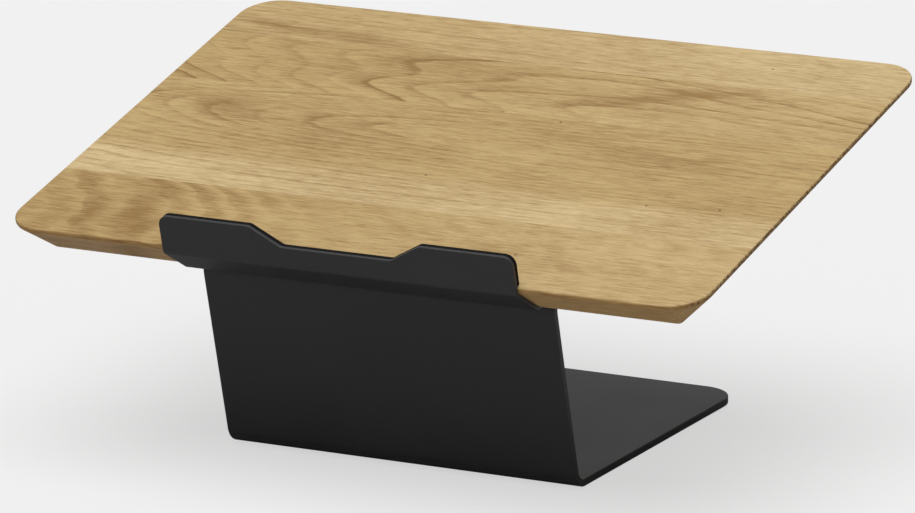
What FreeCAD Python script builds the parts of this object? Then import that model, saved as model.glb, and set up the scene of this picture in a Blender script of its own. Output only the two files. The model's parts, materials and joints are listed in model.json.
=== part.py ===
import FreeCAD, Part
import math
import os

# Fixed laptop stand: an oak board on a folded steel plate, with a bent front stop.
# All sizes in millimetres. +X runs along the board, +Y from front to back, +Z up.
# Two plane frames are used. The ground frame is (y, z). The board frame is (u, v):
# u runs back along the board from its front edge, v is square to the board's top face.

# ---- oak board
board_length = 400.0
board_depth = 280.0
board_thick = 20.0
board_tilt = 13.25            # degrees, back edge up
board_edge_height = 2.5       # upright band round the edge, above the bevel
board_bevel_angle = 43.0      # degrees, between the bevel and the flat underside
underside_corner_radius = 2.0 # corners of the flat underside, inside the bevel
board_top_round = 1.0
board_fold_round = 1.5        # rounding of both edges of the bevel
stave_parts = (("stave_front", 67.0), ("stave_middle", 113.0),
               ("stave_figured", 56.0), ("stave_rear", 44.0))

# ---- folded steel frame
plate_width = 204.0
frame_thick = 4.0
frame_bend_radius = 7.0       # inside of each bend
leg_height = 111.0            # underside of the base to top of the flange, along the leg
leg_setback = 32.5            # front edge of the board to the front of the leg, along the board
base_depth = 191.0
base_corner_radius = 20.0
flange_depth = 150.0
flange_corner_radius = 20.0

# ---- front stop
stop_thick = 2.0
stop_bend_radius = 2.0
stop_height = 17.9            # above the board's top face
stop_corner_radius = 5.5
stop_board_gap = 0.2          # between the stop and the board's front edge and bevel
stop_flange_inset = 10.0      # back edge of the stop's flange, inside the frame's flange
notch_depth = 10.0
notch_floor_half = 31.5
notch_top_half = 49.0
notch_round = 4.0

# ---- pads
stop_pad_thick = 2.5
stop_pad_lift = 0.8           # clear of the board's top face
base_pad_thick = 1.0
base_pad_inset = 4.0
base_pad_front = 10.0         # behind the front corner of the base

# ---- fixings: M5 button-head screws in threaded inserts
screw_across = 140.0          # between the two columns of screws
screw_front_inset = 21.0      # behind the front of the leg
screw_back_inset = 25.0       # in front of the back of the flange
screw_diameter = 5.0
screw_length = 16.0
screw_head_diameter = 9.5
screw_head_height = 2.75
screw_head_round = 2.0        # dome of the head, from its side to the flat round the socket
socket_across_flats = 3.0
socket_depth = 1.7
screw_chamfer = 0.6
hole_clearance = 0.5          # on the diameter of the holes in both flanges
washer_diameter = 10.0
washer_thick = 1.0
washer_clearance = 0.3        # on the diameter of the washer's hole
insert_diameter = 8.0
insert_length = 11.0
insert_rib_count = 5
insert_rib_depth = 0.5
insert_crest_share = 0.5      # part of a rib's pitch that its crest takes
insert_slope_share = 0.25     # part of a rib's pitch that its slope takes
insert_bore_clearance = 0.1   # on the diameter of the insert's bore
insert_hole_spare = 1.0       # wood hole, deeper than the insert

# ---- worked out from the sizes above
tilt = math.radians(board_tilt)
bevel_angle = math.radians(board_bevel_angle)
bevel_width = (board_thick - board_edge_height) / math.tan(bevel_angle)
board_corner_radius = bevel_width + underside_corner_radius
leg_top_v = -board_thick - stop_thick
flange_under_v = leg_top_v - frame_thick
flange_end_u = leg_setback + flange_depth
stop_end_u = flange_end_u - stop_flange_inset
washer_under_v = flange_under_v - washer_thick
screw_rows = (leg_setback + screw_front_inset, flange_end_u - screw_back_inset)
screw_columns = (-screw_across / 2, screw_across / 2)
screw_places = [(x, u) for u in screw_rows for x in screw_columns]

# The front of the leg meets the underside of the base at the ground frame's own origin.
# From there the leg runs up square to the board, which places the board frame.
corner_to_top = leg_height - leg_top_v
front_edge_y = -corner_to_top * math.sin(tilt) - leg_setback * math.cos(tilt)
front_edge_z = corner_to_top * math.cos(tilt) - leg_setback * math.sin(tilt)

# The part's own origin: centre of its footprint, on the surface it stands on.
foremost_y = (front_edge_y - (stop_board_gap + stop_thick) * math.cos(tilt)
              - stop_height * math.sin(tilt))
half_fold = (math.pi / 2 - bevel_angle) / 2    # half of the turn from the board's edge to its bevel
fold_reach = board_fold_round * math.tan(half_fold)
rearmost_y = (front_edge_y + (board_depth - board_fold_round) * math.cos(tilt)
              + (board_edge_height - fold_reach) * math.sin(tilt) + board_fold_round)
shift = FreeCAD.Vector(0, -(foremost_y + rearmost_y) / 2, base_pad_thick)


def ground_point(y, z, x=0.0):
    """Point of the ground frame."""
    return FreeCAD.Vector(x, y, z) + shift


def board_point(u, v, x=0.0):
    """Point of the board frame."""
    y = front_edge_y + u * math.cos(tilt) - v * math.sin(tilt)
    z = front_edge_z + u * math.sin(tilt) + v * math.cos(tilt)
    return ground_point(y, z, x)


def close(a, b):
    """True where two lengths or coordinates are the same, apart from rounding errors."""
    return abs(a - b) < 1e-4


def unit(vector):
    return vector * (1.0 / vector.Length)


def rounded_face(corners):
    """Flat face from (point, radius) corners; a radius of 0 leaves the corner sharp."""
    edges = []
    start = None
    end = None
    count = len(corners)
    for i in range(count):
        point, radius = corners[i]
        back = unit(corners[i - 1][0] - point)
        ahead = unit(corners[(i + 1) % count][0] - point)
        half = back.getAngle(ahead) / 2
        reach = radius / math.tan(half)
        enter = point + back * reach
        leave = point + ahead * reach
        if end is not None:
            edges.append(Part.makeLine(end, enter))
        if radius > 0:
            middle = point + unit(back + ahead) * (radius / math.sin(half) - radius)
            edges.append(Part.Arc(enter, middle, leave).toShape())
        start = start or enter
        end = leave
    edges.append(Part.makeLine(end, start))
    return Part.Face(Part.Wire(edges))


def bent_sheet(path, thick, inner_radius, place, width):
    """Sheet of constant thickness, folded along a path of its outer face.

    The path's points are (a, b) pairs, with the metal on the path's left-hand side.
    place(a, b, x) turns a pair into a point. Every bend closes towards the metal.
    """
    outer = []
    inner = []
    last = len(path) - 1
    for i, (a, b) in enumerate(path):
        before = path[max(i - 1, 0)]
        after = path[min(i + 1, last)]
        first_way = math.atan2(b - before[1], a - before[0]) if i > 0 else None
        next_way = math.atan2(after[1] - b, after[0] - a) if i < last else None
        first_way = next_way if first_way is None else first_way
        next_way = first_way if next_way is None else next_way
        middle_way = (first_way + next_way) / 2
        reach = thick / math.cos((next_way - first_way) / 2)
        bend = 0 < i < last
        outer.append((place(a, b, -width / 2), inner_radius + thick if bend else 0))
        shifted = (a - reach * math.sin(middle_way), b + reach * math.cos(middle_way))
        inner.append((place(*shifted, -width / 2), inner_radius if bend else 0))
    face = rounded_face(outer + inner[::-1])
    return face.extrude(FreeCAD.Vector(width, 0, 0))


def edges_along(shape, direction, length):
    """Straight edges of a given length that run along a direction."""
    found = []
    for edge in shape.Edges:
        if len(edge.Vertexes) != 2 or not close(edge.Length, length):
            continue
        way = edge.Vertexes[1].Point - edge.Vertexes[0].Point
        if close(abs(way.dot(direction)), length):
            found.append(edge)
    return found


up_leg = unit(board_point(0, 1) - board_point(0, 0))
along_board = unit(board_point(1, 0) - board_point(0, 0))


def rod(place, diameter, start_v, length):
    """Cylinder square to the board, from start_v upwards."""
    x, u = place
    return Part.makeCylinder(diameter / 2, length, board_point(u, start_v, x), up_leg)


def turned(place, profile):
    """Solid of revolution about a screw's axis, from (radius, v, rounding) corners."""
    x, u = place
    face = rounded_face([(board_point(u + radius, v, x), rounding) for radius, v, rounding in profile])
    return face.revolve(board_point(u, 0, x), up_leg, 360)


def drill(shape, diameter, start_v, length):
    """Cut one hole at each screw."""
    for place in screw_places:
        shape = shape.cut(rod(place, diameter, start_v, length))
    return shape


def board():
    """Whole board: rounded rectangle with a thin upright edge, bevelled all round below it."""

    def rectangle(v, inset):
        """Rounded rectangle at one level, set in from the board's edges."""
        half = board_length / 2 - inset
        back = board_depth - inset
        return rounded_face([(board_point(u, v, x), board_corner_radius - inset)
                             for x, u in ((-half, inset), (half, inset), (half, back), (-half, back))])

    edge_face = rectangle(-board_edge_height, 0)
    under_face = rectangle(-board_thick, bevel_width)
    bevelled = Part.makeLoft([under_face.OuterWire, edge_face.OuterWire], True, True)
    body = edge_face.extrude(up_leg * board_edge_height).fuse(bevelled).removeSplitter()

    def outline(v):
        """Edges of the body that lie at one level."""
        level = board_point(0, v).dot(up_leg)
        return [e for e in body.Edges
                if all(close(end.Point.dot(up_leg), level) for end in e.Vertexes)
                and close(e.CenterOfMass.dot(up_leg), level)]

    body = body.makeFillet(board_fold_round, outline(-board_edge_height) + outline(-board_thick))
    body = body.makeFillet(board_top_round, outline(0))
    return drill(body, insert_diameter, -board_thick, insert_length + insert_hole_spare)


def staves():
    """The board's four staves; their widths share out the board's depth."""
    whole = board()
    share = board_depth / sum(width for _, width in stave_parts)
    pieces = {}
    start = 0.0
    for name, part in stave_parts:
        width = part * share
        corner = board_point(start, -board_thick, -board_length / 2)
        points = [corner, corner + along_board * width,
                  corner + along_board * width + up_leg * board_thick, corner + up_leg * board_thick]
        slab = Part.Face(Part.makePolygon(points + points[:1])).extrude(FreeCAD.Vector(board_length, 0, 0))
        pieces[name] = whole.common(slab)
        start += width
    return pieces


def frame():
    """Base plate, leg and top flange, folded from one sheet."""
    top_corner = board_point(leg_setback, leg_top_v) - shift
    flange_end = board_point(flange_end_u, leg_top_v) - shift
    path = [(flange_end.y, flange_end.z), (top_corner.y, top_corner.z), (0, 0), (base_depth, 0)]
    sheet = bent_sheet(path, frame_thick, frame_bend_radius, ground_point, plate_width)
    sheet = sheet.makeFillet(base_corner_radius, edges_along(sheet, FreeCAD.Vector(0, 0, 1), frame_thick))
    sheet = sheet.makeFillet(flange_corner_radius, edges_along(sheet, up_leg, frame_thick))
    return drill(sheet, screw_diameter + hole_clearance, flange_under_v, frame_thick)


def stop_outline(foot_v):
    """Front view of the notched lip, from foot_v up to its top: (x, v, radius) corners."""
    half = plate_width / 2
    right = [(half, foot_v, 0), (half, stop_height, stop_corner_radius),
             (notch_top_half, stop_height, notch_round),
             (notch_floor_half, stop_height - notch_depth, notch_round)]
    left = [(-x, v, radius) for x, v, radius in right[::-1]]
    return right + left


def lip_block(front_u, thick, foot_v):
    """Flat plate with the outline of the lip."""
    corners = [(board_point(front_u, v, x), radius) for x, v, radius in stop_outline(foot_v)]
    return rounded_face(corners).extrude(along_board * thick)


def front_stop():
    """Upright lip, bevel part and flange, bent from one sheet."""
    outer = stop_board_gap + stop_thick
    fold_v = -board_edge_height - outer * math.tan(half_fold)
    under_v = -board_thick - stop_thick
    path = [(-outer, stop_height), (-outer, fold_v),
            (-outer + (fold_v - under_v) / math.tan(bevel_angle), under_v), (stop_end_u, under_v)]
    sheet = bent_sheet(path, stop_thick, stop_bend_radius, board_point, plate_width)

    # The lip's outline is cut by a block that stands one sheet clear of it on each side.
    front_u = -outer - stop_thick
    block_thick = 3 * stop_thick
    block_half = plate_width / 2 + stop_thick
    block_top_v = stop_height + stop_thick
    corners = [(board_point(front_u, v, x), 0)
               for x, v in ((-block_half, fold_v), (block_half, fold_v),
                            (block_half, block_top_v), (-block_half, block_top_v))]
    block = rounded_face(corners).extrude(along_board * block_thick)
    sheet = sheet.cut(block.cut(lip_block(front_u, block_thick, fold_v)))
    sheet = sheet.makeFillet(flange_corner_radius - stop_flange_inset / 2,
                             edges_along(sheet, up_leg, stop_thick))
    return drill(sheet, screw_diameter + hole_clearance, under_v, stop_thick)


def stop_pad():
    """Soft liner on the inner face of the lip."""
    return lip_block(-stop_board_gap, stop_pad_thick, stop_pad_lift)


def base_pad():
    """Non-slip sheet under the base plate."""
    half = plate_width / 2 - base_pad_inset
    back = base_depth - base_pad_inset
    radius = base_corner_radius - base_pad_inset
    corners = [(ground_point(base_pad_front, 0, -half), 0), (ground_point(base_pad_front, 0, half), 0),
               (ground_point(back, 0, half), radius), (ground_point(back, 0, -half), radius)]
    return rounded_face(corners).extrude(FreeCAD.Vector(0, 0, -base_pad_thick))


def screw(place):
    """Button-head screw, head down, with a hexagon socket."""
    head_v = washer_under_v - screw_head_height
    tip_v = washer_under_v + screw_length
    core = screw_diameter / 2
    rim = screw_head_diameter / 2
    profile = [(0, head_v, 0), (rim, head_v, screw_head_round), (rim, washer_under_v, 0),
               (core, washer_under_v, 0), (core, tip_v - screw_chamfer, 0),
               (core - screw_chamfer, tip_v, 0), (0, tip_v, 0)]
    x, u = place
    corner_reach = socket_across_flats / math.sqrt(3)
    hexagon = []
    for i in range(6):
        angle = math.radians(60 * i)
        hexagon.append((board_point(u + corner_reach * math.sin(angle), head_v,
                                    x + corner_reach * math.cos(angle)), 0))
    socket = rounded_face(hexagon).extrude(up_leg * socket_depth)
    return turned(place, profile).cut(socket)


def washer(place):
    """Flat washer between a screw head and the frame's flange."""
    hole = screw_diameter + washer_clearance
    ring = rod(place, washer_diameter, washer_under_v, washer_thick)
    return ring.cut(rod(place, hole, washer_under_v, washer_thick))


def insert(place):
    """Ribbed bush that is screwed into the underside of the board."""
    bore = (screw_diameter + insert_bore_clearance) / 2
    crest = insert_diameter / 2
    valley = crest - insert_rib_depth
    rib_pitch = insert_length / insert_rib_count
    top_v = -board_thick + insert_length
    profile = [(bore, -board_thick, 0)]
    for i in range(insert_rib_count):
        foot_v = -board_thick + i * rib_pitch
        crest_end_v = foot_v + rib_pitch * insert_crest_share
        profile.append((crest, foot_v, 0))
        profile.append((crest, crest_end_v, 0))
        profile.append((valley, crest_end_v + rib_pitch * insert_slope_share, 0))
    profile.append((valley, top_v, 0))
    profile.append((bore, top_v, 0))
    return turned(place, profile)


nodes = staves()
nodes["frame"] = frame()
nodes["front_stop"] = front_stop()
nodes["stop_pad"] = stop_pad()
nodes["base_pad"] = base_pad()
nodes["board_screws"] = Part.makeCompound([screw(place) for place in screw_places])
nodes["washers"] = Part.makeCompound([washer(place) for place in screw_places])
nodes["threaded_inserts"] = Part.makeCompound([insert(place) for place in screw_places])

os.makedirs("parts", exist_ok=True)
for name, shape in nodes.items():
    shape.exportStep(f"parts/{name}.step")
    box = shape.BoundBox
    print(f"{name}: {len(shape.Solids)} solids, valid {shape.isValid()}, "
          f"volume {shape.Volume:.0f}, x {box.XMin:.1f}..{box.XMax:.1f}, "
          f"y {box.YMin:.1f}..{box.YMax:.1f}, z {box.ZMin:.2f}..{box.ZMax:.2f}")
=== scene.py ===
import json
import math

import bmesh
import bpy
from mathutils import Matrix, Vector

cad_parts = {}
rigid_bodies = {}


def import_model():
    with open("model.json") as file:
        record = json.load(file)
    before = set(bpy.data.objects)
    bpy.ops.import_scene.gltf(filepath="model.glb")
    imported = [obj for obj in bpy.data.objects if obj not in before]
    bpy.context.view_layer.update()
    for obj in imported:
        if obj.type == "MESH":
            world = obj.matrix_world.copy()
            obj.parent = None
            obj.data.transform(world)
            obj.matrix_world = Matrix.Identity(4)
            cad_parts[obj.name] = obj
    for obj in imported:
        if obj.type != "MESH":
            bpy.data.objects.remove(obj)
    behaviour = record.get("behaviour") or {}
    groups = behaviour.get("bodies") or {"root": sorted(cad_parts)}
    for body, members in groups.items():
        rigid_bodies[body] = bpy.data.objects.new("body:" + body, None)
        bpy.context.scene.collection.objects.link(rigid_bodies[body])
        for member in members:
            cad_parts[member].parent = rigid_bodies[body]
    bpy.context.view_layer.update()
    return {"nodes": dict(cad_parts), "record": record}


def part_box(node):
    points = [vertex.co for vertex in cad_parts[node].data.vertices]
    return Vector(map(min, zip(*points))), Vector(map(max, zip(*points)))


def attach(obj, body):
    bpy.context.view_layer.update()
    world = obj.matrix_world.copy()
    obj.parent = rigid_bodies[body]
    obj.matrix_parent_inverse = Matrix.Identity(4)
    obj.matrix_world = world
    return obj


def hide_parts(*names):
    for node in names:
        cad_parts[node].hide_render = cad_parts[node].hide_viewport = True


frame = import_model()

# A fixed laptop stand: four glued oak staves on a folded steel plate, with a bent front stop.
# Everything is in metres. "Board frame" below means x along the board, y up its slope from
# the front edge and z square to its top face.
MM = 0.001
IN_MM = 1 / MM                   # metres to millimetres

# ---- sizes that the design fixes
BOARD_DEPTH = 280 * MM
BOARD_THICK = 20 * MM
BOARD_BAND = 2.5 * MM            # upright band round the board's edge, above its bevel
BEVEL_ANGLE = math.radians(43)   # between the bevel and the flat underside
BEVEL_HEIGHT = BOARD_THICK - BOARD_BAND
BEVEL_WIDTH = BEVEL_HEIGHT / math.tan(BEVEL_ANGLE)
HALF_FOLD = (math.pi / 2 - BEVEL_ANGLE) / 2
BOARD_CORNER = BEVEL_WIDTH + 2 * MM
BOARD_TOP_ROUND = 1.0 * MM
BOARD_FOLD_ROUND = 1.5 * MM
STAVE_JOINTS = (67 * MM, 180 * MM, 236 * MM)
MOUNT_UP_SLOPE = 120 * MM        # from the front edge to the point where the laptop face is stated
PLATE_THICK = 4 * MM
PLATE_BEND = 7 * MM              # inside radius
LEG_SETBACK = 32.5 * MM
LEG_HEIGHT = 111 * MM
BASE_DEPTH = 191 * MM
BASE_CORNER = 20 * MM
FLANGE_DEPTH = 150 * MM
STOP_THICK = 2 * MM
STOP_BEND = 2 * MM
STOP_HEIGHT = 17.9 * MM
STOP_CORNER = 5.5 * MM
STOP_GAP = 0.2 * MM
STOP_INSET = 10 * MM
NOTCH_DEPTH = 10 * MM
NOTCH_FLOOR = 31.5 * MM
NOTCH_TOP = 49 * MM
NOTCH_ROUND = 4 * MM
PAD_THICK = 2.5 * MM
PAD_LIFT = 0.8 * MM
BASE_PAD_INSET = 4 * MM
SCREW_ACROSS = 140 * MM
SCREW_FRONT = 21 * MM            # behind the leg's face
SCREW_BACK = 25 * MM             # in front of the flange's back edge
SCREW_SHANK = 5 * MM
SCREW_HOLE = 5.5 * MM
SCREW_LENGTH = 16 * MM
HEAD_ACROSS = 9.5 * MM
HEAD_HEIGHT = 2.75 * MM
HEAD_DOME = 0.72 * HEAD_HEIGHT   # part of the head's height that its dome takes
SCREW_CHAMFER = 0.6 * MM
SOCKET_FLATS = 3 * MM
SOCKET_DEPTH = 1.7 * MM
WASHER_ACROSS = 10 * MM
WASHER_HOLE = 5.3 * MM
WASHER_THICK = 1 * MM
FRAME_ARRIS = 0.45 * MM          # rounding left on the cut edges of each piece
STOP_ARRIS = 0.3 * MM
LINER_ARRIS = 0.35 * MM
SHEET_ARRIS = 0.25 * MM
SCREW_ARRIS = 0.12 * MM
WASHER_ARRIS = 0.15 * MM

# ---- places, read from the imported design
laptop_face = next(m for m in frame["record"]["mounts"] if m["name"] == "laptop_face")
board_up = Vector(laptop_face["axis"]).normalized()
board_back = Vector((0, board_up.z, -board_up.y))
tilt = math.atan2(board_back.z, board_back.y)
front_edge = Vector(laptop_face["pos_m"]) - board_back * MOUNT_UP_SLOPE
board_place = Matrix.Translation(front_edge) @ Matrix.Rotation(tilt, 4, "X")
half_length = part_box("stave_middle")[1].x
half_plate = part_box("frame")[1].x
base_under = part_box("base_pad")[1].z
leg_top = LEG_SETBACK * board_back - (BOARD_THICK + STOP_THICK) * board_up + front_edge
leg_foot = leg_top - LEG_HEIGHT * board_up
flange_end = LEG_SETBACK + FLANGE_DEPTH
screw_spots = [(x, y) for y in (LEG_SETBACK + SCREW_FRONT, flange_end - SCREW_BACK)
               for x in (-SCREW_ACROSS / 2, SCREW_ACROSS / 2)]
flange_under = -BOARD_THICK - STOP_THICK - PLATE_THICK


# =====================================================================  bench tools

def bare():
    """Object mode with nothing selected."""
    if bpy.context.object and bpy.context.object.mode != "OBJECT":
        bpy.ops.object.mode_set(mode="OBJECT")
    bpy.ops.object.select_all(action="DESELECT")


def focus(piece):
    """Make one piece the active and only selected object."""
    bare()
    piece.select_set(True)
    bpy.context.view_layer.objects.active = piece


def start(name):
    """Name the primitive that was just added and open it for editing, nothing selected."""
    piece = bpy.context.object
    piece.name = piece.data.name = name
    bpy.ops.object.mode_set(mode="EDIT")
    bpy.ops.mesh.select_all(action="DESELECT")
    return piece


def pick(piece, kind, rule):
    """In edit mode, select exactly the vertices, edges or faces that a rule names."""
    bpy.ops.mesh.select_all(action="DESELECT")
    bpy.ops.mesh.select_mode(type=kind)
    mesh = bmesh.from_edit_mesh(piece.data)
    for item in {"VERT": mesh.verts, "EDGE": mesh.edges, "FACE": mesh.faces}[kind]:
        if rule(item):
            item.select_set(True)
    mesh.select_flush_mode()
    bmesh.update_edit_mesh(piece.data)


def near(a, b, slack=0.02 * MM):
    return abs(a - b) < slack


def middle(edge):
    return (edge.verts[0].co + edge.verts[1].co) / 2


def plate(name, width, y_from, y_to, z=0.0):
    """Flat sheet in the XY plane, open for editing."""
    bare()
    bpy.ops.mesh.primitive_plane_add(size=1, location=(0, (y_from + y_to) / 2, z))
    bpy.ops.transform.resize(value=(width, y_to - y_from, 1))
    bpy.ops.object.transform_apply(location=True, rotation=True, scale=True)
    return start(name)


def finish_with(piece, kind, **settings):
    """Add a modifier with its settings and apply it."""
    focus(piece)
    modifier = piece.modifiers.new(kind.title(), kind)
    for key, value in settings.items():
        setattr(modifier, key, value)
    bpy.ops.object.modifier_apply(modifier=modifier.name)


def soften(piece, width, segments=3):
    """Round the sharp arrises and smooth the shading."""
    finish_with(piece, "BEVEL", width=width, segments=segments, limit_method="ANGLE",
                angle_limit=math.radians(50), use_clamp_overlap=True)
    smooth(piece)


def smooth(piece, angle=40):
    focus(piece)
    bpy.ops.object.shade_smooth_by_angle(angle=math.radians(angle))
    finish_with(piece, "WEIGHTED_NORMAL", mode="FACE_AREA", weight=50, keep_sharp=True)


def outward(piece):
    """Merge doubled points and point every face outwards."""
    focus(piece)
    bpy.ops.object.mode_set(mode="EDIT")
    bpy.ops.mesh.select_all(action="SELECT")
    bpy.ops.mesh.remove_doubles(threshold=0.001 * MM)
    bpy.ops.mesh.normals_make_consistent(inside=False)
    bare()


def onto_board(piece):
    """Move a piece from the board frame to its real place, and keep that in its mesh."""
    focus(piece)
    piece.matrix_world = board_place @ piece.matrix_world
    bpy.ops.object.transform_apply(location=True, rotation=True, scale=True)


def stands_for(piece, node, material):
    """Give a finished piece its material, body and slot, in place of a design node."""
    piece.data.materials.clear()
    piece.data.materials.append(material)
    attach(piece, "root")
    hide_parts(node)


# =====================================================================  node building

class Bench:
    """Short hand for building one node tree."""

    def __init__(self, tree):
        self.tree = tree

    def node(self, kind, label="", **settings):
        made = self.tree.nodes.new(kind)
        made.label = label
        for key, value in settings.items():
            setattr(made, key, value)
        return made

    def join(self, source, target):
        self.tree.links.new(source, target)

    def feed(self, socket, value):
        """Link an output to a socket, or set the socket's own value."""
        if isinstance(value, bpy.types.NodeSocket):
            self.join(value, socket)
        elif value is not None:
            socket.default_value = value

    def math(self, operation, a, b=None, c=None, clamp=False):
        made = self.node("ShaderNodeMath", operation=operation, use_clamp=clamp)
        for socket, value in zip(made.inputs, (a, b, c)):
            self.feed(socket, value)
        return made.outputs[0]

    def vector(self, operation, a, b=None):
        made = self.node("ShaderNodeVectorMath", operation=operation)
        self.feed(made.inputs[0], a)
        self.feed(made.inputs[1], b)
        return made.outputs[0]

    def noise(self, place, scale=1.0, detail=2.0, rough=0.5, seed=0.0):
        """Noise between 0 and 1; seed picks another slice of it."""
        made = self.node("ShaderNodeTexNoise", noise_dimensions="4D")
        self.feed(made.inputs["Vector"], place)
        self.feed(made.inputs["W"], seed)
        self.feed(made.inputs["Scale"], scale)
        made.inputs["Detail"].default_value = detail
        made.inputs["Roughness"].default_value = rough
        return made.outputs["Fac"]

    def stretch(self, place, x, y, z):
        return self.vector("MULTIPLY", place, (x, y, z))

    def xyz(self, place):
        made = self.node("ShaderNodeSeparateXYZ")
        self.join(place, made.inputs[0])
        return made.outputs

    def pack(self, x, y, z):
        made = self.node("ShaderNodeCombineXYZ")
        for socket, value in zip(made.inputs, (x, y, z)):
            self.feed(socket, value)
        return made.outputs[0]

    def remap(self, value, low, high, to_low=0.0, to_high=1.0):
        made = self.node("ShaderNodeMapRange", interpolation_type="SMOOTHSTEP")
        for socket, given in zip(made.inputs, (value, low, high, to_low, to_high)):
            self.feed(socket, given)
        return made.outputs[0]

    def mix(self, factor, a, b, kind="MIX"):
        made = self.node("ShaderNodeMix", data_type="RGBA", blend_type=kind)
        self.feed(made.inputs[0], factor)
        self.feed(made.inputs[6], a)
        self.feed(made.inputs[7], b)
        return made.outputs[2]


def new_group(name, inputs, outputs):
    """Empty shader node group with named inputs and outputs."""
    group = bpy.data.node_groups.new(name, "ShaderNodeTree")
    for label, kind, value in inputs:
        socket = group.interface.new_socket(label, in_out="INPUT", socket_type=kind)
        if value is not None:
            socket.default_value = value
    for label, kind in outputs:
        group.interface.new_socket(label, in_out="OUTPUT", socket_type=kind)
    bench = Bench(group)
    return group, bench, bench.node("NodeGroupInput"), bench.node("NodeGroupOutput")


FLOAT = "NodeSocketFloat"
COLOR = "NodeSocketColor"
PLACE = "NodeSocketVector"


# The patterns in the oak: repeats per millimetre along and across the grain, slice, detail, roughness.
DRIFT = (0.006, 0.022, 0.0, 1.5, 0.5)        # slow wander of the growth rings
DRIFT_TOO = (0.009, 0.030, 7.3, 1.0, 0.5)    # a second, a little finer one
KINK = (0.013, 0.055, 3.1, 2.5, 0.45)        # irregular kinks of the rings
PATCH = (0.012, 0.045, 11.0, 2.0, 0.5)       # where the rings stand out
STREAK = (0.030, 0.40, 4.0, 3.0, 0.5)        # long soft streaks
FLECK = (0.17, 1.7, 5.0, 2.0, 0.6)           # open pores
FIBRE = (0.11, 1.7, 0.5, 3.0, 0.65)          # fine fibres
RIPPLE = (0.055, 0.90, 6.4, 2.0, 0.6)        # wavy relief of the fibres, also painted into the colour as its light and shade
DASH = (0.065, 1.15, 13.0, 1.5, 0.5)         # short dark dashes
PAINTED_GLINT_DASH = (0.060, 1.00, 17.0, 1.5, 0.5)        # short pale dashes, painted highlights along the fibre relief
RAY = (0.10, 0.90, 9.0, 1.0, 0.5)            # pale rays
CLOUD = (0.008, 0.030, 2.0, 3.0, 0.5)        # broad drift of the colour

# How much of each pattern goes into the darkness of the wood, from 0, pale, to 1, brown.
GROUND_DARK = 0.30
FIBRE_DARK = -1.6
# The ripple's share is painted light and shade of the fibre relief.
RIPPLE_PAINTED_SHADE = -0.80
STREAK_DARK = -0.65
CLOUD_DARK = -1.15
DASH_DARK = 0.30
# The pale dashes' share is painted highlight on the fibre relief.
PAINTED_GLINT_DARK = -0.25

# A ring runs from 0 to 1: where its thin pore line peaks and ends, and where its broad line does.
THIN_PEAK = 0.09
THIN_END = 0.30
BROAD_PEAK = 0.10
BROAD_PEAK_SOFT = 0.32  # added to the peak of a fully soft ring
BROAD_END = 0.95

PALE_OAK = (0.612, 0.470, 0.250, 1)
BROWN_OAK = (0.325, 0.205, 0.078, 1)
RAY_OAK = (0.72, 0.56, 0.33, 1)
PORE_OAK = (0.20, 0.115, 0.045, 1)
KNOT_OAK = (0.07, 0.038, 0.016, 1)
BEAD_OAK = (0.085, 0.046, 0.020, 1)
CUT_OIL_AND_PAINTED_LIGHT = (1.12, 0.96, 0.84, 1)            # what more oil does to the cut faces, partly painted light: warmer and brighter to offset the grey light they get
RED_WITH_TONE = 0.73                         # darker oak loses less red
BLUE_WITH_TONE = 1.64                        # and more blue

ZIGZAG_PITCH = 30.0     # millimetres across the board, one zigzag of the growth rings to the next
ZIGZAG_START = 0.15
KNOT_SPACING = 42.0     # millimetres between the places where a pin knot may be
KNOT_CHOICE = 0.86      # the higher, the fewer of them there are
KNOT_CORE = 0.010       # radii of a pin knot, in parts of that spacing
KNOT_RIM = 0.024
RAY_SHARE = 0.20        # how far rays, pores and knots take the colour to their own
PORE_SHARE = 0.40
KNOT_SHARE = 0.75
FADE_SPAN = (-130.0, 60.0)      # millimetres along the board in which the figure fades
TONE_SPAN = (-150.0, 150.0)     # and in which the tone goes from the left one to the right one
PALE_EDGE = 1.30        # how much brighter a stave's paler edge is
PALE_EDGE_BLUR = 9.0    # millimetres to each side
BEVEL_PAINTED_LIGHT = 0.92       # painted light: brightness of the bevels of every stave, for how they are lit
BAND_PAINTED_SHADE = 0.72        # painted shade: the narrow upright edge above the bevels is darker, as it faces away from the light
OAK_SHINE = 0.22
OAK_RELIEF = 0.14       # millimetres
OAK_RELIEF_SEEN = 0.7


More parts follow.
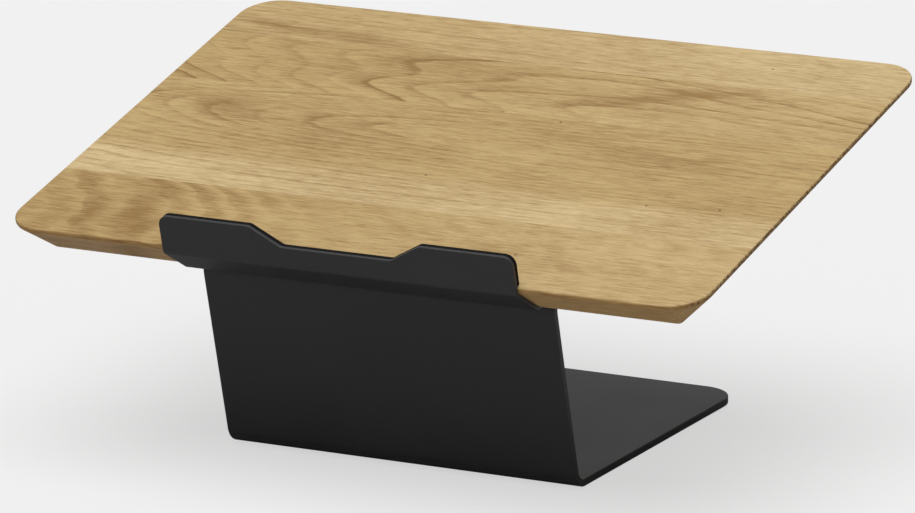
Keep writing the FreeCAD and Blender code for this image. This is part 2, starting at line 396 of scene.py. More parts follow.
def oak_group():
    """Plain-sawn oak: growth rings round a pith, cut by the board, with pores and fibres.

    Place is in millimetres of the board frame. The pith runs along x at a chosen place
    across the board and at a depth that changes along it, which is what draws the flames.
    """
    inputs = [("Place", PLACE, None), ("Pith across", FLOAT, 0.0), ("Pith depth", FLOAT, 30.0),
              ("Depth slope", FLOAT, 0.1), ("Depth rise", FLOAT, 0.0), ("Ring width", FLOAT, 4.0),
              ("Wave", FLOAT, 3.0), ("Kink", FLOAT, 0.5), ("Figure", FLOAT, 0.6), ("Fade", FLOAT, 0.0),
              ("Soft", FLOAT, 0.0), ("Lean", FLOAT, 0.0), ("Zigzag", FLOAT, 0.0),
              ("Stain centre", PLACE, None), ("Stain turn", PLACE, None), ("Stain size", PLACE, None),
              ("Stain", FLOAT, 0.0), ("Tone", FLOAT, 1.0), ("Tone right", FLOAT, 1.0),
              ("Pale below", FLOAT, -200.0), ("Seed", FLOAT, 0.0),
              ("End grain", FLOAT, 0.0), ("Cut face", FLOAT, 0.0), ("Cut tone", FLOAT, 0.9)]
    outputs = [("Color", COLOR), ("Roughness", FLOAT), ("Height", FLOAT)]
    group, b, given, out = new_group("oak_grain", inputs, outputs)
    g = given.outputs
    place = g["Place"]
    x, y, z = b.xyz(place)

    def pattern(along, sideways, layer, detail, rough):
        """Noise stretched along x, in its own slice."""
        return b.noise(b.stretch(place, along, sideways, sideways), detail=detail, rough=rough,
                       seed=b.math("ADD", g["Seed"], layer))

    def swing(noise, amount):
        """Noise turned into a shift to both sides of zero."""
        return b.math("MULTIPLY", b.math("SUBTRACT", noise, 0.5), amount)

    # The growth rings wander slowly, and kink where the tree grew wavy.
    slow = pattern(*DRIFT)
    slow_too = pattern(*DRIFT_TOO)
    kink = pattern(*KINK)
    phase = b.math("MULTIPLY_ADD", slow_too, 2.0, ZIGZAG_START)
    zigzag = b.math("MULTIPLY_ADD", y, 2 * math.pi / ZIGZAG_PITCH, phase)
    zigzag = b.math("MULTIPLY", b.math("SINE", zigzag), g["Zigzag"])
    across = b.math("SUBTRACT", y, g["Pith across"])
    across = b.math("ADD", across, swing(slow, b.math("MULTIPLY", g["Wave"], 4.0)))
    across = b.math("ADD", across, b.math("MULTIPLY", x, g["Lean"]))
    left = b.math("SUBTRACT", half_length / MM, x)
    share = b.math("DIVIDE", left, 2 * half_length / MM)
    depth = b.math("MULTIPLY_ADD", left, g["Depth slope"], g["Pith depth"])
    depth = b.math("MULTIPLY_ADD", b.math("MULTIPLY", share, share), g["Depth rise"], depth)
    depth = b.math("ADD", depth, z)
    depth = b.math("ADD", depth, swing(slow_too, b.math("MULTIPLY", g["Wave"], 2.0)))
    depth = b.math("ADD", depth, swing(kink, b.math("MULTIPLY", g["Kink"], 10.0)))
    depth = b.math("ADD", depth, zigzag)
    radius = b.math("SQRT", b.math("MULTIPLY_ADD", across, across, b.math("MULTIPLY", depth, depth)))
    turns = b.math("DIVIDE", radius, g["Ring width"])
    ring = b.math("FRACT", turns)

    # Each ring starts with a thin dark line of open pores and fades into plain late wood.
    thin = b.math("MULTIPLY", b.remap(ring, 0.0, THIN_PEAK), b.remap(ring, THIN_PEAK, THIN_END, 1.0, 0.0))
    onset = b.math("MULTIPLY_ADD", g["Soft"], BROAD_PEAK_SOFT, BROAD_PEAK)
    broad = b.math("MULTIPLY", b.remap(ring, 0.0, onset), b.remap(ring, onset, BROAD_END, 1.0, 0.0))
    own = b.node("ShaderNodeTexWhiteNoise", noise_dimensions="1D")
    b.join(b.math("FLOOR", turns), own.inputs["W"])
    weight = b.math("MULTIPLY_ADD", own.outputs["Value"], 0.9, 0.15)
    patch = b.remap(pattern(*PATCH), 0.30, 0.66, 0.25, 1.0)
    fade = b.remap(x, *FADE_SPAN, 1.0, b.math("SUBTRACT", 1.0, g["Fade"]))
    strength = b.math("MULTIPLY", b.math("MULTIPLY", weight, patch), b.math("MULTIPLY", fade, g["Figure"]))
    streak = pattern(*STREAK)
    fleck = pattern(*FLECK)
    thin = b.math("MULTIPLY", thin, b.math("MULTIPLY_ADD", fleck, 1.5, 0.15))
    thin = b.math("MULTIPLY", thin, b.math("MULTIPLY_ADD", g["Soft"], -0.65, 1.0))
    broad = b.math("MULTIPLY", broad, b.math("MULTIPLY_ADD", g["Soft"], 0.55, 0.45))
    line = b.math("MULTIPLY", b.math("ADD", broad, thin), strength)

    # One browner patch in each stave, drawn out along the grain.
    patchy = b.node("ShaderNodeMapping", vector_type="TEXTURE")
    b.join(b.pack(x, b.math("ADD", y, swing(slow_too, 14.0)), 0.0), patchy.inputs["Vector"])
    b.join(g["Stain centre"], patchy.inputs["Location"])
    b.join(g["Stain turn"], patchy.inputs["Rotation"])
    b.join(g["Stain size"], patchy.inputs["Scale"])
    off = b.node("ShaderNodeVectorMath", operation="LENGTH")
    b.join(patchy.outputs[0], off.inputs[0])
    stain = b.math("MULTIPLY", b.remap(off.outputs["Value"], 0.15, 1.0, 1.0, 0.0), g["Stain"])

    # Fibres, rays and open pores run along x.
    fibre = pattern(*FIBRE)
    ripple = pattern(*RIPPLE)
    dash = b.remap(pattern(*DASH), 0.53, 0.66)
    # Pale dashes: painted highlights of the fibre relief.
    painted_glints = b.remap(pattern(*PAINTED_GLINT_DASH), 0.53, 0.68)
    pores = b.remap(fleck, 0.55, 0.70)
    pores = b.math("MULTIPLY", pores, b.math("MULTIPLY_ADD", line, 1.2, 0.60))
    ray = b.remap(pattern(*RAY), 0.60, 0.76)
    cloud = pattern(*CLOUD)
    knots = b.node("ShaderNodeTexVoronoi", feature="F1", voronoi_dimensions="2D")
    b.join(b.stretch(place, 1 / KNOT_SPACING, 1 / KNOT_SPACING, 0), knots.inputs["Vector"])
    knots.inputs["Scale"].default_value = 1.0
    chosen = b.math("GREATER_THAN", b.xyz(knots.outputs["Color"])[0], KNOT_CHOICE)
    knot = b.remap(knots.outputs["Distance"], KNOT_CORE, KNOT_RIM, 1.0, 0.0)
    knot = b.math("MULTIPLY", knot, chosen)

    # All of them together set how brown the wood is; the ripple and the pale dashes paint the light and
    # shade of the fibre relief into it.
    dark = b.math("ADD", b.math("ADD", line, stain), swing(fibre, FIBRE_DARK))
    dark = b.math("ADD", dark, swing(ripple, RIPPLE_PAINTED_SHADE))
    dark = b.math("MULTIPLY_ADD", dash, DASH_DARK, dark)
    dark = b.math("MULTIPLY_ADD", painted_glints, PAINTED_GLINT_DARK, dark)
    dark = b.math("ADD", dark, swing(streak, STREAK_DARK))
    dark = b.math("ADD", dark, swing(cloud, CLOUD_DARK))
    dark = b.math("ADD", dark, GROUND_DARK, clamp=True)
    tint = b.mix(dark, PALE_OAK, BROWN_OAK)
    tint = b.mix(b.math("MULTIPLY", ray, RAY_SHARE), tint, RAY_OAK)
    tint = b.mix(b.math("MULTIPLY", pores, PORE_SHARE, clamp=True), tint, PORE_OAK)
    tint = b.mix(b.math("MULTIPLY", knot, KNOT_SHARE), tint, KNOT_OAK)

    # The cut faces drink more oil and carry painted light and shade by facing, and the end grain shows its
    # pores as dark beads.
    bead = b.remap(b.noise(b.stretch(place, 0.1, 0.55, 0.7), detail=1.5, seed=3.0), 0.46, 0.56)
    end = b.math("MULTIPLY", g["End grain"], b.math("MULTIPLY_ADD", bead, 0.70, 0.12))
    tint = b.mix(end, tint, BEAD_OAK)
    tint = b.mix(g["Cut face"], tint, b.mix(1.0, tint, CUT_OIL_AND_PAINTED_LIGHT, "MULTIPLY"))
    tone = b.remap(x, *TONE_SPAN, g["Tone"], g["Tone right"])
    pale_edge = b.math("ADD", b.math("SUBTRACT", y, g["Pale below"]), swing(slow, 16.0))
    paler = b.remap(pale_edge, -PALE_EDGE_BLUR, PALE_EDGE_BLUR, PALE_EDGE, 1.0)
    tone = b.math("MULTIPLY", tone, paler)
    # Painted light and shade: the cut faces take a brightness set by their facing, the upright band darker
    # than the bevels.
    tone = b.math("MULTIPLY_ADD", b.math("SUBTRACT", g["Cut tone"], tone), g["Cut face"], tone)
    warm = b.pack(b.math("POWER", tone, RED_WITH_TONE), tone, b.math("POWER", tone, BLUE_WITH_TONE))
    tint = b.mix(1.0, tint, warm, "MULTIPLY")
    b.join(tint, out.inputs["Color"])

    # Open pores are rougher and lower, the ripple stands up, and the ring lines sink a little.
    rough = b.math("MULTIPLY_ADD", fibre, 0.14, 0.46)
    b.join(b.math("MULTIPLY_ADD", pores, 0.18, rough), out.inputs["Roughness"])
    height = b.math("SUBTRACT", b.math("MULTIPLY", fibre, 0.5), pores)
    height = b.math("MULTIPLY_ADD", ripple, 3.0, height)
    b.join(b.math("MULTIPLY_ADD", line, -0.25, height), out.inputs["Height"])
    return group


def grain_group():
    """Fine even texture of a sprayed or moulded skin."""
    inputs = [("Place", PLACE, None), ("Fine", FLOAT, 2.0), ("Coarse", FLOAT, 0.4), ("Speckle", FLOAT, 0.5)]
    outputs = [("Height", FLOAT), ("Mask", FLOAT), ("Drift", FLOAT)]
    group, b, given, out = new_group("fine_skin", inputs, outputs)
    g = given.outputs
    fine = b.noise(g["Place"], g["Fine"], detail=2.0, rough=0.6)
    coarse = b.noise(g["Place"], g["Coarse"], detail=1.0, seed=4.0)
    cells = b.node("ShaderNodeTexVoronoi", feature="F1")
    b.join(g["Place"], cells.inputs["Vector"])
    b.join(g["Fine"], cells.inputs["Scale"])
    dots = b.remap(cells.outputs["Distance"], 0.0, 0.6, 1.0, 0.0)
    height = b.math("ADD", b.math("MULTIPLY", fine, 0.6), b.math("MULTIPLY", coarse, 0.8))
    height = b.math("ADD", height, b.math("MULTIPLY", dots, b.math("MULTIPLY", g["Speckle"], 0.5)))
    b.join(height, out.inputs["Height"])
    b.join(b.math("MULTIPLY", dots, g["Speckle"]), out.inputs["Mask"])
    b.join(b.noise(g["Place"], 0.015, detail=3.0, seed=8.0), out.inputs["Drift"])
    return group


def new_material(name):
    """Material with its Principled shader, ready for nodes."""
    material = bpy.data.materials.new(name)
    material.use_nodes = True
    bench = Bench(material.node_tree)
    shader = material.node_tree.nodes["Principled BSDF"]
    return material, bench, shader


def in_millimetres(b):
    """Object coordinates in millimetres."""
    place = b.node("ShaderNodeTexCoord").outputs["Object"]
    return b.vector("MULTIPLY", place, (IN_MM,) * 3)


def on_the_board(b):
    """Object coordinates turned into millimetres of the board frame."""
    mapping = b.node("ShaderNodeMapping", vector_type="POINT")
    b.join(b.node("ShaderNodeTexCoord").outputs["Object"], mapping.inputs["Vector"])
    turn_back = Matrix.Rotation(-tilt, 3, "X")
    mapping.inputs["Location"].default_value = turn_back @ -front_edge * IN_MM
    mapping.inputs["Rotation"].default_value = (-tilt, 0, 0)
    mapping.inputs["Scale"].default_value = (IN_MM,) * 3
    return mapping.outputs[0]


def bump(b, shader, height, depth_mm, strength=1.0):
    made = b.node("ShaderNodeBump")
    b.join(height, made.inputs["Height"])
    made.inputs["Strength"].default_value = strength
    made.inputs["Distance"].default_value = depth_mm * MM
    b.join(made.outputs[0], shader.inputs["Normal"])


def oak_material(name, group, **values):
    """Oiled oak for one stave, with that stave's own cut through the tree."""
    material, b, shader = new_material(name)
    grain = b.node("ShaderNodeGroup", node_tree=group)
    b.join(on_the_board(b), grain.inputs["Place"])
    for label, value in values.items():
        grain.inputs[label.replace("_", " ")].default_value = value
    facing = b.xyz(b.node("ShaderNodeTexCoord").outputs["Normal"])
    b.join(b.remap(b.math("ABSOLUTE", facing[0]), 0.45, 0.95), grain.inputs["End grain"])
    # Facing also sets the cut faces and the painted light and shade of the bevels and upright band.
    b.join(b.remap(facing[2], -0.1, 0.6, 1.0, 0.0), grain.inputs["Cut face"])
    b.join(b.remap(facing[2], -0.75, -0.40, BEVEL_PAINTED_LIGHT, BAND_PAINTED_SHADE), grain.inputs["Cut tone"])
    b.join(grain.outputs["Color"], shader.inputs["Base Color"])
    b.join(grain.outputs["Roughness"], shader.inputs["Roughness"])
    shader.inputs["Specular IOR Level"].default_value = OAK_SHINE
    bump(b, shader, grain.outputs["Height"], OAK_RELIEF, OAK_RELIEF_SEEN)
    return material


def skin_material(name, group, colour, roughness, depth_mm, fine, coarse, speckle, lift, specular):
    """Dark skin: powder coat, rubber or liner, by its texture sizes."""
    material, b, shader = new_material(name)
    skin = b.node("ShaderNodeGroup", node_tree=group)
    b.join(in_millimetres(b), skin.inputs["Place"])
    skin.inputs["Fine"].default_value = fine
    skin.inputs["Coarse"].default_value = coarse
    skin.inputs["Speckle"].default_value = speckle
    base = tuple(colour) + (1,)
    pale = tuple(c * lift for c in colour) + (1,)
    tint = b.mix(skin.outputs["Mask"], base, pale)
    drift = b.remap(skin.outputs["Drift"], 0.3, 0.7, 0.92, 1.08)
    tint = b.mix(1.0, tint, b.pack(drift, drift, drift), "MULTIPLY")
    b.join(tint, shader.inputs["Base Color"])
    rough = b.math("MULTIPLY_ADD", skin.outputs["Drift"], 0.10, roughness - 0.05)
    b.join(rough, shader.inputs["Roughness"])
    shader.inputs["Specular IOR Level"].default_value = specular
    bump(b, shader, skin.outputs["Height"], depth_mm)
    return material


def plated_material(name, colour, roughness):
    """Plated steel with a fine drawn finish."""
    material, b, shader = new_material(name)
    place = in_millimetres(b)
    drawn = b.noise(b.stretch(place, 1.5, 9.0, 9.0), detail=2.0)
    cloud = b.noise(place, 0.4, detail=3.0)
    base = tuple(colour) + (1,)
    dull = tuple(c * 0.7 for c in colour) + (1,)
    b.join(b.mix(b.remap(cloud, 0.35, 0.7), base, dull), shader.inputs["Base Color"])
    b.join(b.math("MULTIPLY_ADD", drawn, 0.22, roughness), shader.inputs["Roughness"])
    shader.inputs["Metallic"].default_value = 1.0
    bump(b, shader, drawn, 0.01)
    return material


# =====================================================================  pieces

def whole_board():
    """The board before it is cut into staves, in the board frame."""
    bare()
    bpy.ops.mesh.primitive_cube_add(size=1, location=(0, BOARD_DEPTH / 2, -BOARD_BAND / 2))
    bpy.ops.transform.resize(value=(2 * half_length, BOARD_DEPTH, BOARD_BAND))
    bpy.ops.object.transform_apply(location=True, rotation=True, scale=True)
    board = start("board")
    pick(board, "EDGE", lambda e: near(middle(e).z, -BOARD_BAND / 2))
    bpy.ops.mesh.bevel(offset=BOARD_CORNER, segments=14, affect="EDGES")
    pick(board, "FACE", lambda f: f.normal.z < -0.9)
    bpy.ops.mesh.inset(thickness=BEVEL_WIDTH, depth=0)
    bpy.ops.transform.translate(value=(0, 0, -BEVEL_HEIGHT))
    pick(board, "EDGE", lambda e: near(e.verts[0].co.z, e.verts[1].co.z) and len(e.link_faces) == 2
         and any(near(e.verts[0].co.z, -depth) for depth in (BOARD_BAND, BOARD_THICK)))
    bpy.ops.mesh.bevel(offset=BOARD_FOLD_ROUND * math.tan(HALF_FOLD), segments=3, affect="EDGES")
    pick(board, "EDGE", lambda e: near(e.verts[0].co.z, 0) and near(e.verts[1].co.z, 0))
    bpy.ops.mesh.bevel(offset=BOARD_TOP_ROUND, segments=4, affect="EDGES")
    bare()
    return board


def stave(board, name, y_from, y_to):
    """One stave: a copy of the board, cut off at its two joints."""
    focus(board)
    bpy.ops.object.duplicate()
    piece = start(name)
    for y, inside in ((y_from, False), (y_to, True)):
        if 0 < y < BOARD_DEPTH:
            bpy.ops.mesh.select_all(action="SELECT")
            bpy.ops.mesh.bisect(plane_co=(0, y, 0), plane_no=(0, 1, 0), use_fill=True,
                                clear_outer=inside, clear_inner=not inside)
    outward(piece)
    smooth(piece, 30)
    onto_board(piece)
    return piece


def folded_frame():
    """Base plate, leg and flange, folded from one sheet; its outer face is drawn first."""
    sheet = plate("folded_frame", 2 * half_plate, leg_foot.y, leg_foot.y + BASE_DEPTH, base_under)
    pick(sheet, "EDGE", lambda e: near(middle(e).y, leg_foot.y))
    bpy.ops.mesh.extrude_region_move(TRANSFORM_OT_translate={"value": LEG_HEIGHT * board_up})
    bpy.ops.mesh.extrude_region_move(TRANSFORM_OT_translate={"value": FLANGE_DEPTH * board_back})
    outer = PLATE_BEND + PLATE_THICK
    pick(sheet, "EDGE", lambda e: len(e.link_faces) == 2 and near(middle(e).y, leg_foot.y))
    bpy.ops.mesh.bevel(offset=outer * math.tan((math.pi / 2 - tilt) / 2), segments=10, affect="EDGES")
    pick(sheet, "EDGE", lambda e: len(e.link_faces) == 2 and near((middle(e) - leg_top).length, 0))
    bpy.ops.mesh.bevel(offset=outer, segments=10, affect="EDGES")
    back = leg_foot.y + BASE_DEPTH
    far = leg_top + FLANGE_DEPTH * board_back
    pick(sheet, "VERT", lambda v: near(v.co.y, back) or near((v.co - far).dot(board_back), 0))
    bpy.ops.mesh.bevel(offset=BASE_CORNER, segments=14, affect="VERTICES")
    bpy.ops.mesh.select_all(action="SELECT")
    bpy.ops.mesh.flip_normals()
    bare()
    finish_with(sheet, "SOLIDIFY", thickness=PLATE_THICK, offset=-1, use_even_offset=True)
    outward(sheet)
    drill(sheet, flange_under - PLATE_THICK, flange_under + 2 * PLATE_THICK)
    soften(sheet, FRAME_ARRIS)
    return sheet


def drill(piece, z_from, z_to):
    """Cut the four screw holes, given in the board frame."""
    bare()
    for x, y in screw_spots:
        bpy.ops.mesh.primitive_cylinder_add(vertices=32, radius=SCREW_HOLE / 2, depth=z_to - z_from,
                                            location=(x, y, (z_from + z_to) / 2))
        bpy.ops.object.transform_apply(location=True, rotation=True, scale=True)
        bpy.context.object.name = "drill_bit"
    bits = [o for o in bpy.data.objects if o.name.startswith("drill_bit")]
    for bit in bits:
        bit.select_set(True)
    bpy.ops.object.join()
    bit = bpy.context.object
    onto_board(bit)
    finish_with(piece, "BOOLEAN", operation="DIFFERENCE", solver="EXACT", object=bit)
    bpy.data.objects.remove(bit)


def lip_face(name, y, foot):
    """Upright face with the lip's notched outline, facing the front, open for editing."""
    top = STOP_HEIGHT - foot
    piece = plate(name, 2 * half_plate, 0, top)
    for x in (-NOTCH_TOP, -NOTCH_FLOOR, NOTCH_FLOOR, NOTCH_TOP):
        bpy.ops.mesh.select_all(action="SELECT")
        bpy.ops.mesh.bisect(plane_co=(x, 0, 0), plane_no=(1, 0, 0))
    pick(piece, "VERT", lambda v: near(v.co.y, top) and near(abs(v.co.x), NOTCH_FLOOR))
    bpy.ops.transform.translate(value=(0, -NOTCH_DEPTH, 0))
    bpy.ops.mesh.select_all(action="SELECT")
    bpy.ops.mesh.dissolve_faces()
    pick(piece, "VERT", lambda v: near(v.co.y, 0) and not near(abs(v.co.x), half_plate))
    bpy.ops.mesh.dissolve_verts()
    pick(piece, "VERT", lambda v: near(v.co.y, top) and near(abs(v.co.x), half_plate))
    bpy.ops.mesh.bevel(offset=STOP_CORNER, segments=8, affect="VERTICES")
    knee = NOTCH_ROUND * math.tan(math.atan2(NOTCH_DEPTH, NOTCH_TOP - NOTCH_FLOOR) / 2)
    pick(piece, "VERT", lambda v: near(abs(v.co.x), NOTCH_TOP) or near(abs(v.co.x), NOTCH_FLOOR))
    bpy.ops.mesh.bevel(offset=knee, segments=5, affect="VERTICES")
    bare()
    piece.matrix_world = Matrix.Translation((0, y, foot)) @ Matrix.Rotation(math.pi / 2, 4, "X")
    focus(piece)
    bpy.ops.object.transform_apply(location=True, rotation=True, scale=True)
    bpy.ops.object.mode_set(mode="EDIT")
    return piece


def front_stop():
    """Lip, bevel part and flange, bent from one sheet; its outer face is drawn first."""
    outer = STOP_GAP + STOP_THICK
    fold = -BOARD_BAND - outer * math.tan(HALF_FOLD)
    under = -BOARD_THICK - STOP_THICK
    sheet = lip_face("front_stop_plate", -outer, fold)
    pick(sheet, "EDGE", lambda e: near(middle(e).z, fold) and near(e.verts[0].co.z, fold))
    drop = fold - under
    run_in = drop / math.tan(BEVEL_ANGLE)
    bpy.ops.mesh.extrude_region_move(TRANSFORM_OT_translate={"value": (0, run_in, -drop)})
    run = flange_end - STOP_INSET + outer - run_in
    bpy.ops.mesh.extrude_region_move(TRANSFORM_OT_translate={"value": (0, run, 0)})
    bend = (STOP_BEND + STOP_THICK) * math.tan(HALF_FOLD)
    pick(sheet, "EDGE", lambda e: len(e.link_faces) == 2)
    bpy.ops.mesh.bevel(offset=bend, segments=6, affect="EDGES")
    pick(sheet, "VERT", lambda v: near(v.co.y, flange_end - STOP_INSET))
    bpy.ops.mesh.bevel(offset=BASE_CORNER - STOP_INSET / 2, segments=12, affect="VERTICES")
    bare()
    finish_with(sheet, "SOLIDIFY", thickness=STOP_THICK, offset=-1, use_even_offset=True)
    outward(sheet)
    onto_board(sheet)
    drill(sheet, flange_under - PLATE_THICK, flange_under + 3 * PLATE_THICK)
    soften(sheet, STOP_ARRIS)
    return sheet


def stop_liner():
    """Soft liner on the inner face of the lip."""
    pad = lip_face("stop_liner", -STOP_GAP, PAD_LIFT)
    bare()
    finish_with(pad, "SOLIDIFY", thickness=PAD_THICK, offset=-1)
    outward(pad)
    onto_board(pad)
    soften(pad, LINER_ARRIS)
    return pad


def non_slip_sheet():
    """Thin sheet under the base plate."""
    low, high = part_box("base_pad")
    pad = plate("non_slip_sheet", high.x - low.x, low.y, high.y, low.z)
    pick(pad, "VERT", lambda v: near(v.co.y, high.y))
    bpy.ops.mesh.bevel(offset=BASE_CORNER - BASE_PAD_INSET, segments=12, affect="VERTICES")
    bare()
    finish_with(pad, "SOLIDIFY", thickness=high.z - low.z, offset=1)
    outward(pad)
    soften(pad, SHEET_ARRIS, 2)
    return pad


def turned_stub(name, radius, z_from, z_to, sides):
    """Round blank about the z axis, open for editing."""
    bare()
    bpy.ops.mesh.primitive_cylinder_add(vertices=sides, radius=radius, depth=z_to - z_from,
                                        location=(0, 0, (z_from + z_to) / 2))
    bpy.ops.object.transform_apply(location=True, rotation=True, scale=True)
    return start(name)


def screw_blank():
    """One button-head screw, head down, with its socket; z = 0 is under the head."""
    screw = turned_stub("screw", HEAD_ACROSS / 2, -HEAD_HEIGHT, 0, 48)
    pick(screw, "EDGE", lambda e: all(near(v.co.z, -HEAD_HEIGHT) for v in e.verts))
    bpy.ops.mesh.bevel(offset=HEAD_DOME, segments=6, affect="EDGES")
    pick(screw, "FACE", lambda f: f.normal.z > 0.99)
    bpy.ops.mesh.inset(thickness=(HEAD_ACROSS - SCREW_SHANK) / 2, depth=0)
    straight = SCREW_LENGTH - SCREW_CHAMFER
    bpy.ops.mesh.extrude_region_move(TRANSFORM_OT_translate={"value": (0, 0, straight)})
    bpy.ops.mesh.inset(thickness=SCREW_CHAMFER, depth=0)
    bpy.ops.transform.translate(value=(0, 0, SCREW_CHAMFER))
    bare()
    bpy.ops.mesh.primitive_cylinder_add(vertices=6, radius=SOCKET_FLATS / math.sqrt(3),
                                        depth=2 * SOCKET_DEPTH, location=(0, 0, -HEAD_HEIGHT))
    key = bpy.context.object
    finish_with(screw, "BOOLEAN", operation="DIFFERENCE", solver="EXACT", object=key)
    bpy.data.objects.remove(key)
    outward(screw)
    soften(screw, SCREW_ARRIS, 2)
    return screw


def washer_blank():
    """One flat washer; z = 0 is its upper face."""
    ring = turned_stub("washer", WASHER_ACROSS / 2, -WASHER_THICK, 0, 48)
    pick(ring, "FACE", lambda f: abs(f.normal.z) > 0.9)
    bpy.ops.mesh.inset(thickness=(WASHER_ACROSS - WASHER_HOLE) / 2, depth=0)
    bpy.ops.mesh.bridge_edge_loops()
    bare()
    outward(ring)
    soften(ring, WASHER_ARRIS, 2)
    return ring


def one_at_each_screw(blank, name, z):
    """Copy a blank to each screw, join the copies and drop the blank."""
    copies = []
    for x, y in screw_spots:
        focus(blank)
        bpy.ops.object.duplicate()
        piece = bpy.context.object
        piece.matrix_world = Matrix.Translation((x, y, z))
        copies.append(piece)
    bare()
    for piece in copies:
        piece.select_set(True)
    bpy.context.view_layer.objects.active = copies[0]
    bpy.ops.object.transform_apply(location=True, rotation=True, scale=True)
    bpy.ops.object.join()
    joined = bpy.context.object
    joined.name = joined.data.name = name
    bpy.data.objects.remove(blank)
    onto_board(joined)
    return joined


# =====================================================================  making

grain = oak_group()
skin = grain_group()
coat = skin_material("black_powder_coat", skin, (0.0245, 0.0245, 0.025), roughness=0.46, depth_mm=0.030,
                     fine=2.2, coarse=0.5, speckle=0.35, lift=1.5, specular=0.45)
liner = skin_material("stop_liner_rubber", skin, (0.004, 0.004, 0.004), roughness=0.80, depth_mm=0.05,
                      fine=4.0, coarse=0.8, speckle=0.5, lift=1.7, specular=0.12)
sheet_rubber = skin_material("non_slip_rubber", skin, (0.012, 0.012, 0.012), roughness=0.70, depth_mm=0.06,
                             fine=3.0, coarse=0.8, speckle=0.6, lift=1.6, specular=0.3)
zinc = plated_material("bright_zinc", (0.66, 0.66, 0.67), 0.24)
alloy = plated_material("insert_alloy", (0.62, 0.50, 0.28), 0.30)

# How each stave was cut from its tree; places and lengths are in millimetres of the board frame.
OAK = {
    "stave_front": dict(
        Pith_across=15.0, Pith_depth=330.0, Depth_slope=-0.14, Ring_width=3.1,
        Wave=4.0, Kink=0.42, Figure=0.72, Fade=0.60, Soft=0.82,
        Stain=0.42, Stain_centre=(-133.0, 30.0, 0.0), Stain_turn=(0.0, 0.0, math.radians(105)),
        Stain_size=(52.0, 15.0, 1.0), Tone=0.71, Tone_right=0.85, Seed=1.0),
    "stave_middle": dict(
        Pith_across=149.0, Pith_depth=7.0, Depth_slope=0.0, Depth_rise=28.0, Ring_width=3.6,
        Wave=2.2, Kink=0.30, Figure=0.70, Fade=0.50, Soft=0.30,
        Stain=0.35, Stain_centre=(-152.0, 152.0, 0.0), Stain_turn=(0.0, 0.0, math.radians(-20)),
        Stain_size=(34.0, 13.0, 1.0), Tone=0.76, Tone_right=0.75, Pale_below=98.0, Seed=4.0),
    "stave_figured": dict(
        Pith_across=185.0, Pith_depth=120.0, Depth_slope=0.06, Depth_rise=16.0, Ring_width=3.9,
        Lean=0.275, Zigzag=1.0, Wave=2.0, Kink=0.22, Figure=0.85, Soft=0.15,
        Stain=0.40, Stain_centre=(72.0, 211.0, 0.0), Stain_turn=(0.0, 0.0, math.radians(19)),
        Stain_size=(85.0, 9.0, 1.0), Tone=0.725, Tone_right=0.83, Seed=9.0),
    "stave_rear": dict(
        Pith_across=420.0, Pith_depth=120.0, Depth_slope=0.02, Depth_rise=6.0, Ring_width=3.3,
        Wave=2.4, Kink=0.45, Figure=0.50, Fade=0.6, Soft=0.4,
        Stain=0.40, Stain_centre=(-140.0, 246.0, 0.0), Stain_turn=(0.0, 0.0, math.radians(-8)),
        Stain_size=(105.0, 10.0, 1.0), Tone=0.83, Tone_right=0.97, Seed=14.0),
}

board = whole_board()
ends = (0,) + STAVE_JOINTS + (BOARD_DEPTH,)
for i, (node, cut) in enumerate(OAK.items()):
    piece = stave(board, "oak_" + node, ends[i], ends[i + 1])
    stands_for(piece, node, oak_material("oak_" + node, grain, **cut))
bpy.data.objects.remove(board)

stands_for(folded_frame(), "frame", coat)
stands_for(front_stop(), "front_stop", coat)
stands_for(stop_liner(), "stop_pad", liner)
stands_for(non_slip_sheet(), "base_pad", sheet_rubber)
screws = one_at_each_screw(screw_blank(), "button_head_screws", flange_under - WASHER_THICK)
stands_for(screws, "board_screws", zinc)
rings = one_at_each_screw(washer_blank(), "flat_washers", flange_under)
stands_for(rings, "washers", zinc)
for slot in frame["nodes"]["threaded_inserts"].material_slots:
    slot.material = alloy


# =====================================================================  floor, light and camera

FLOOR_GLOW = 0.70                 # part of the floor's look that shadows don't darken
FLOOR_GLOW_GREY = (0.863, 0.863, 0.863, 1)
FLOOR_SEEN_GREY = (0.76, 0.76, 0.76, 1)
FLOOR_BOUNCE_GREY = (0.36, 0.36, 0.36, 1)
ROOM_LIGHT = 0.30
OVERHEAD_ENERGY = 2.85
OVERHEAD_SPREAD = math.radians(62)
OVERHEAD_PLACE = (0.0, -0.5, 3.0)
BEHIND_ENERGY = 3
BEHIND_SIZE = (3.0, 1.4)
BEHIND_PLACE = (-1.4, 2.7, 0.8)
CAMERA_AZIMUTH = math.radians(28.218)
CAMERA_ELEVATION = math.radians(14.827)
CAMERA_ROLL = math.radians(-0.885)
CAMERA_DISTANCE = 3.8308
CAMERA_LENS = 295.36
CAMERA_AIM = (34.75 * MM, leg_foot.y, 116.08 * MM + base_under)


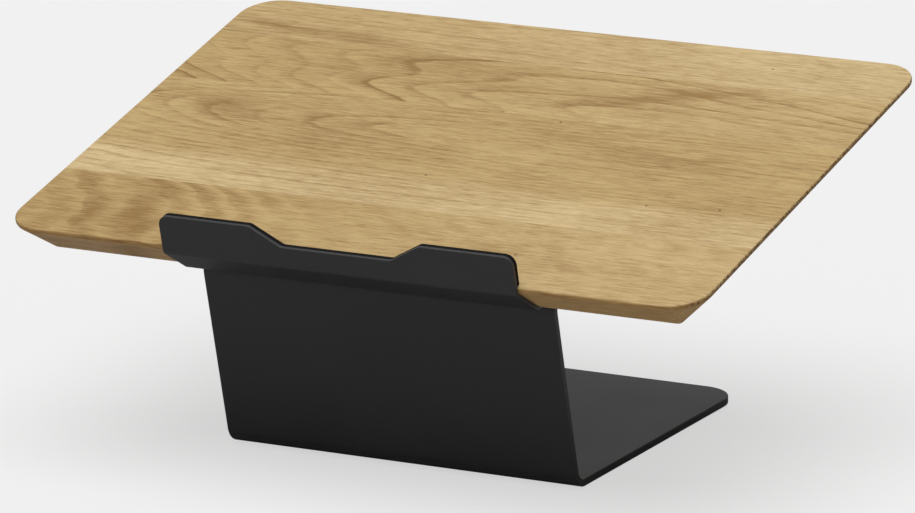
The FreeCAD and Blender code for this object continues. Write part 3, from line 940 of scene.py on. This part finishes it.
def floor():
    """Pale floor; it shows nearly even, but throws back less light than it shows."""
    bare()
    bpy.ops.mesh.primitive_plane_add(size=12, location=(0, 0, 0))
    piece = bpy.context.object
    piece.name = "floor"
    material, b, shader = new_material("pale_floor")
    seen = b.node("ShaderNodeLightPath").outputs["Is Camera Ray"]
    b.join(b.mix(seen, FLOOR_BOUNCE_GREY, FLOOR_SEEN_GREY), shader.inputs["Base Color"])
    shader.inputs["Roughness"].default_value = 0.9
    shader.inputs["Specular IOR Level"].default_value = 0.0
    glow = b.node("ShaderNodeEmission")
    glow.inputs["Color"].default_value = FLOOR_GLOW_GREY
    both = b.node("ShaderNodeMixShader")
    b.join(b.math("MULTIPLY", seen, FLOOR_GLOW), both.inputs[0])
    b.join(shader.outputs[0], both.inputs[1])
    b.join(glow.outputs[0], both.inputs[2])
    b.join(both.outputs[0], material.node_tree.nodes["Material Output"].inputs["Surface"])
    piece.data.materials.append(material)


def aimed(lamp, place, aim):
    """Put a light in the scene, pointing at a place."""
    piece = bpy.data.objects.new(lamp.name, lamp)
    bpy.context.scene.collection.objects.link(piece)
    piece.location = place
    piece.rotation_euler = (Vector(aim) - Vector(place)).to_track_quat("-Z", "Y").to_euler()


def studio():
    """Dim white room, one very broad light overhead and a softbox behind that casts no shadow."""
    world = bpy.data.worlds.new("studio")
    bpy.context.scene.world = world
    world.use_nodes = True
    room = world.node_tree.nodes["Background"]
    room.inputs["Color"].default_value = (1, 1, 1, 1)
    room.inputs["Strength"].default_value = ROOM_LIGHT
    overhead = bpy.data.lights.new("overhead", "SUN")
    overhead.energy = OVERHEAD_ENERGY
    overhead.angle = OVERHEAD_SPREAD
    aimed(overhead, OVERHEAD_PLACE, (0, 0, 0))
    behind = bpy.data.lights.new("behind", "AREA")
    behind.shape = "RECTANGLE"
    behind.size, behind.size_y = BEHIND_SIZE
    behind.energy = BEHIND_ENERGY
    behind.use_shadow = False
    aimed(behind, BEHIND_PLACE, (0, 0, 0.1))
    bpy.context.scene.view_settings.view_transform = "Standard"


def camera():
    """Long lens, low in front of the right corner."""
    back = Vector((math.sin(CAMERA_AZIMUTH) * math.cos(CAMERA_ELEVATION),
                   -math.cos(CAMERA_AZIMUTH) * math.cos(CAMERA_ELEVATION),
                   math.sin(CAMERA_ELEVATION)))
    data = bpy.data.cameras.new("camera")
    data.sensor_width = 36
    data.lens = CAMERA_LENS
    data.clip_end = 50
    eye = bpy.data.objects.new("camera", data)
    bpy.context.scene.collection.objects.link(eye)
    eye.location = Vector(CAMERA_AIM) + back * CAMERA_DISTANCE
    turn = (-back).to_track_quat("-Z", "Y").to_matrix().to_4x4() @ Matrix.Rotation(CAMERA_ROLL, 4, "Z")
    eye.rotation_euler = turn.to_euler()
    bpy.context.scene.camera = eye


floor()
studio()
camera()
